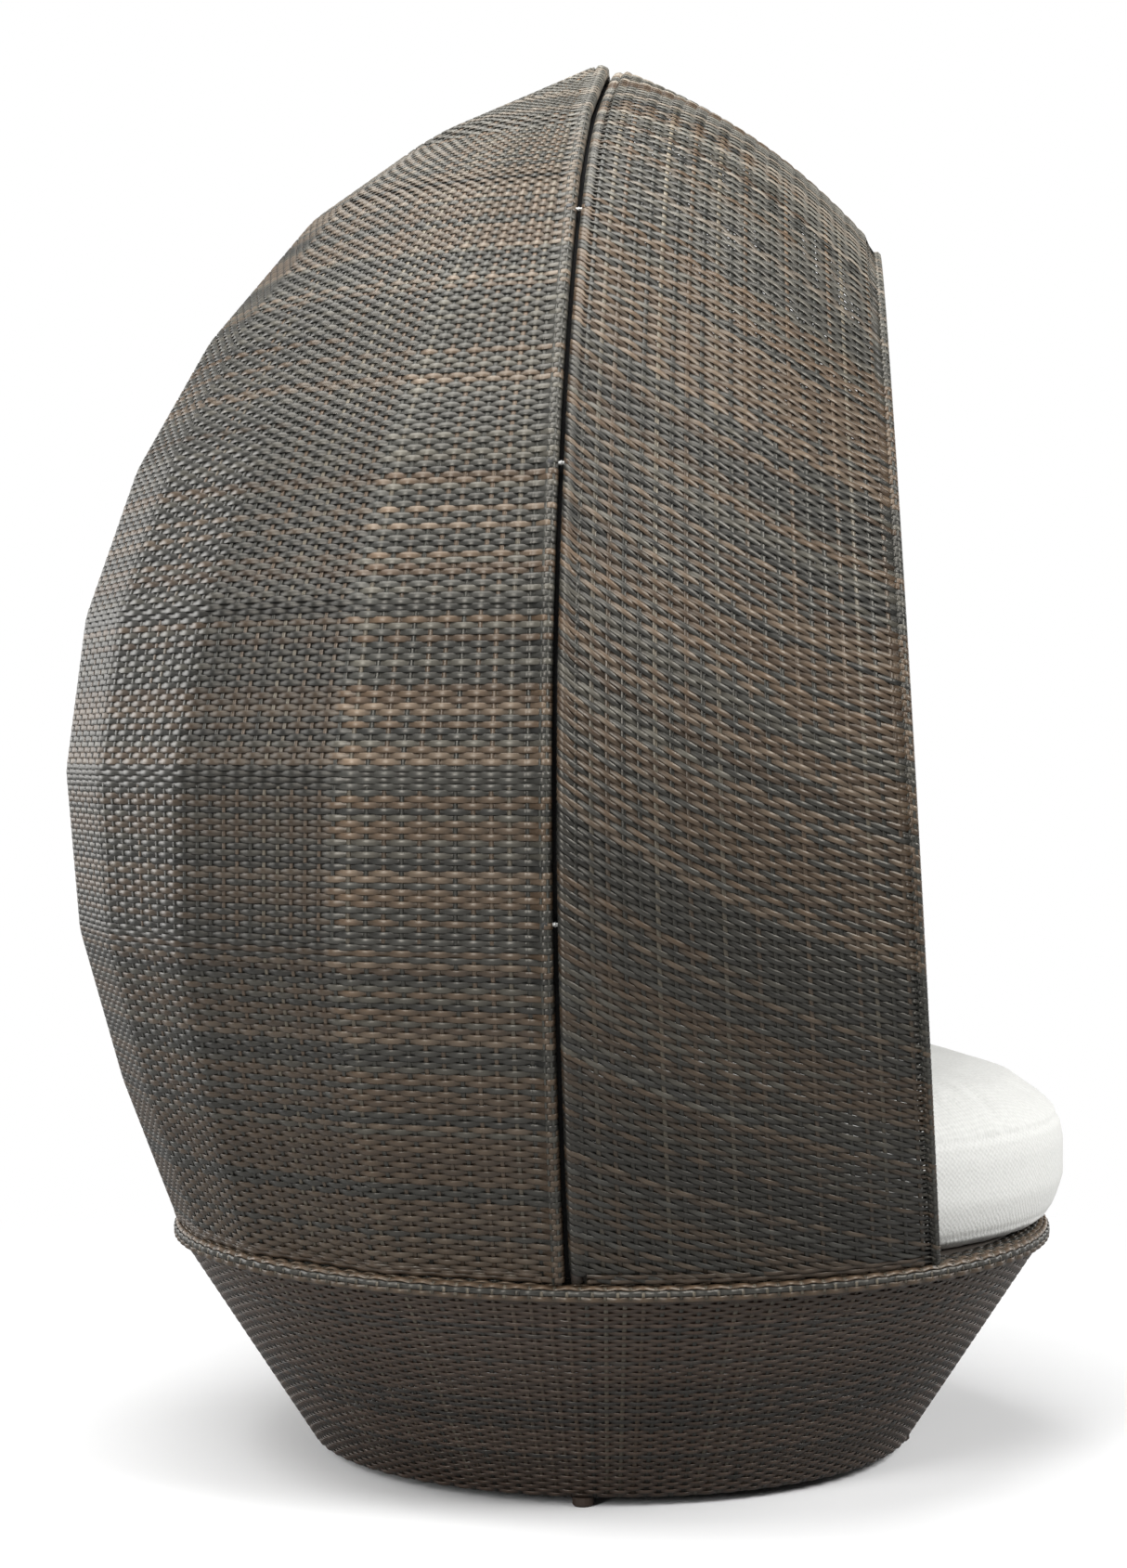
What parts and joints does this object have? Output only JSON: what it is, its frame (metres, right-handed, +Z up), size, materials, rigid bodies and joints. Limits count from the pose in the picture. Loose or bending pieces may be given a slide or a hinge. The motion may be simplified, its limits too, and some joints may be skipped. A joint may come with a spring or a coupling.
{
  "type": "outdoor daybed",
  "caption": "Round woven outdoor daybed with a tall bud-shaped canopy, a wide arched mouth, a short conical base and a thick loose round cushion.",
  "frame": {"origin": "on the floor, under the middle of the overall box", "axes": "+Z up, the mouth of the canopy faces -Y, +X to the right seen from the front"},
  "size_m": [1.7458, 1.586, 2.2016],
  "materials": {
    "weave": "satin",
    "wrap": "satin",
    "frame": "satin",
    "deck": "matte",
    "foot": "satin",
    "bolt": "satin",
    "cushion": "matte"
  },
  "bodies": {
    "daybed": {"foot_left": "foot", "foot_back": "foot", "foot_right": "foot", "foot_front": "foot", "base_bottom_ring": "frame", "base_top_ring": "frame", "base_upright_1": "frame", "base_upright_2": "frame", "base_upright_3": "frame", "base_upright_4": "frame", "base_upright_5": "frame", "base_upright_6": "frame", "base_upright_7": "frame", "base_upright_8": "frame", "deck_bearer_centre": "frame", "deck_bearer_left": "frame", "deck_bearer_right": "frame", "base_weave": "weave", "base_rim_wrap": "wrap", "seat_deck": "deck", "rear_seam_arch": "wrap", "rear_foot_rail": "frame", "rear_crown_ring": "frame", "rear_rib_1": "frame", "rear_rib_2": "frame", "rear_rib_3": "frame", "rear_rib_4": "frame", "rear_rib_5": "frame", "rear_rib_6": "frame", "rear_rib_7": "frame", "rear_rib_8": "frame", "rear_rib_9": "frame", "rear_crown_stay": "frame", "rear_rung_1": "frame", "rear_rung_2": "frame", "rear_rung_3": "frame", "rear_rung_4": "frame", "rear_rung_5": "frame", "rear_rung_6": "frame", "rear_rung_7": "frame", "rear_canopy_weave": "weave", "front_seam_arch": "wrap", "front_mouth_arch": "wrap", "front_foot_rail_left": "frame", "front_foot_rail_right": "frame", "front_stay_left": "frame", "front_stay_crest": "frame", "front_stay_right": "frame", "front_canopy_weave": "weave", "seam_stud_left_low": "bolt", "seam_stud_right_low": "bolt", "seam_stud_left_middle": "bolt", "seam_stud_right_middle": "bolt", "seam_stud_left_high": "bolt", "seam_stud_right_high": "bolt", "base_bolt_rear_left": "bolt", "base_bolt_rear_right": "bolt", "base_bolt_front_left": "bolt", "base_bolt_front_right": "bolt"},
    "cushion": {"seat_cushion": "cushion"}
  },
  "joints": [
    {"name": "cushion_lift", "type": "slide", "parent": "daybed", "child": "cushion", "axis": [0, 0, 1], "range_m": [0, 0.3]}
  ]
}
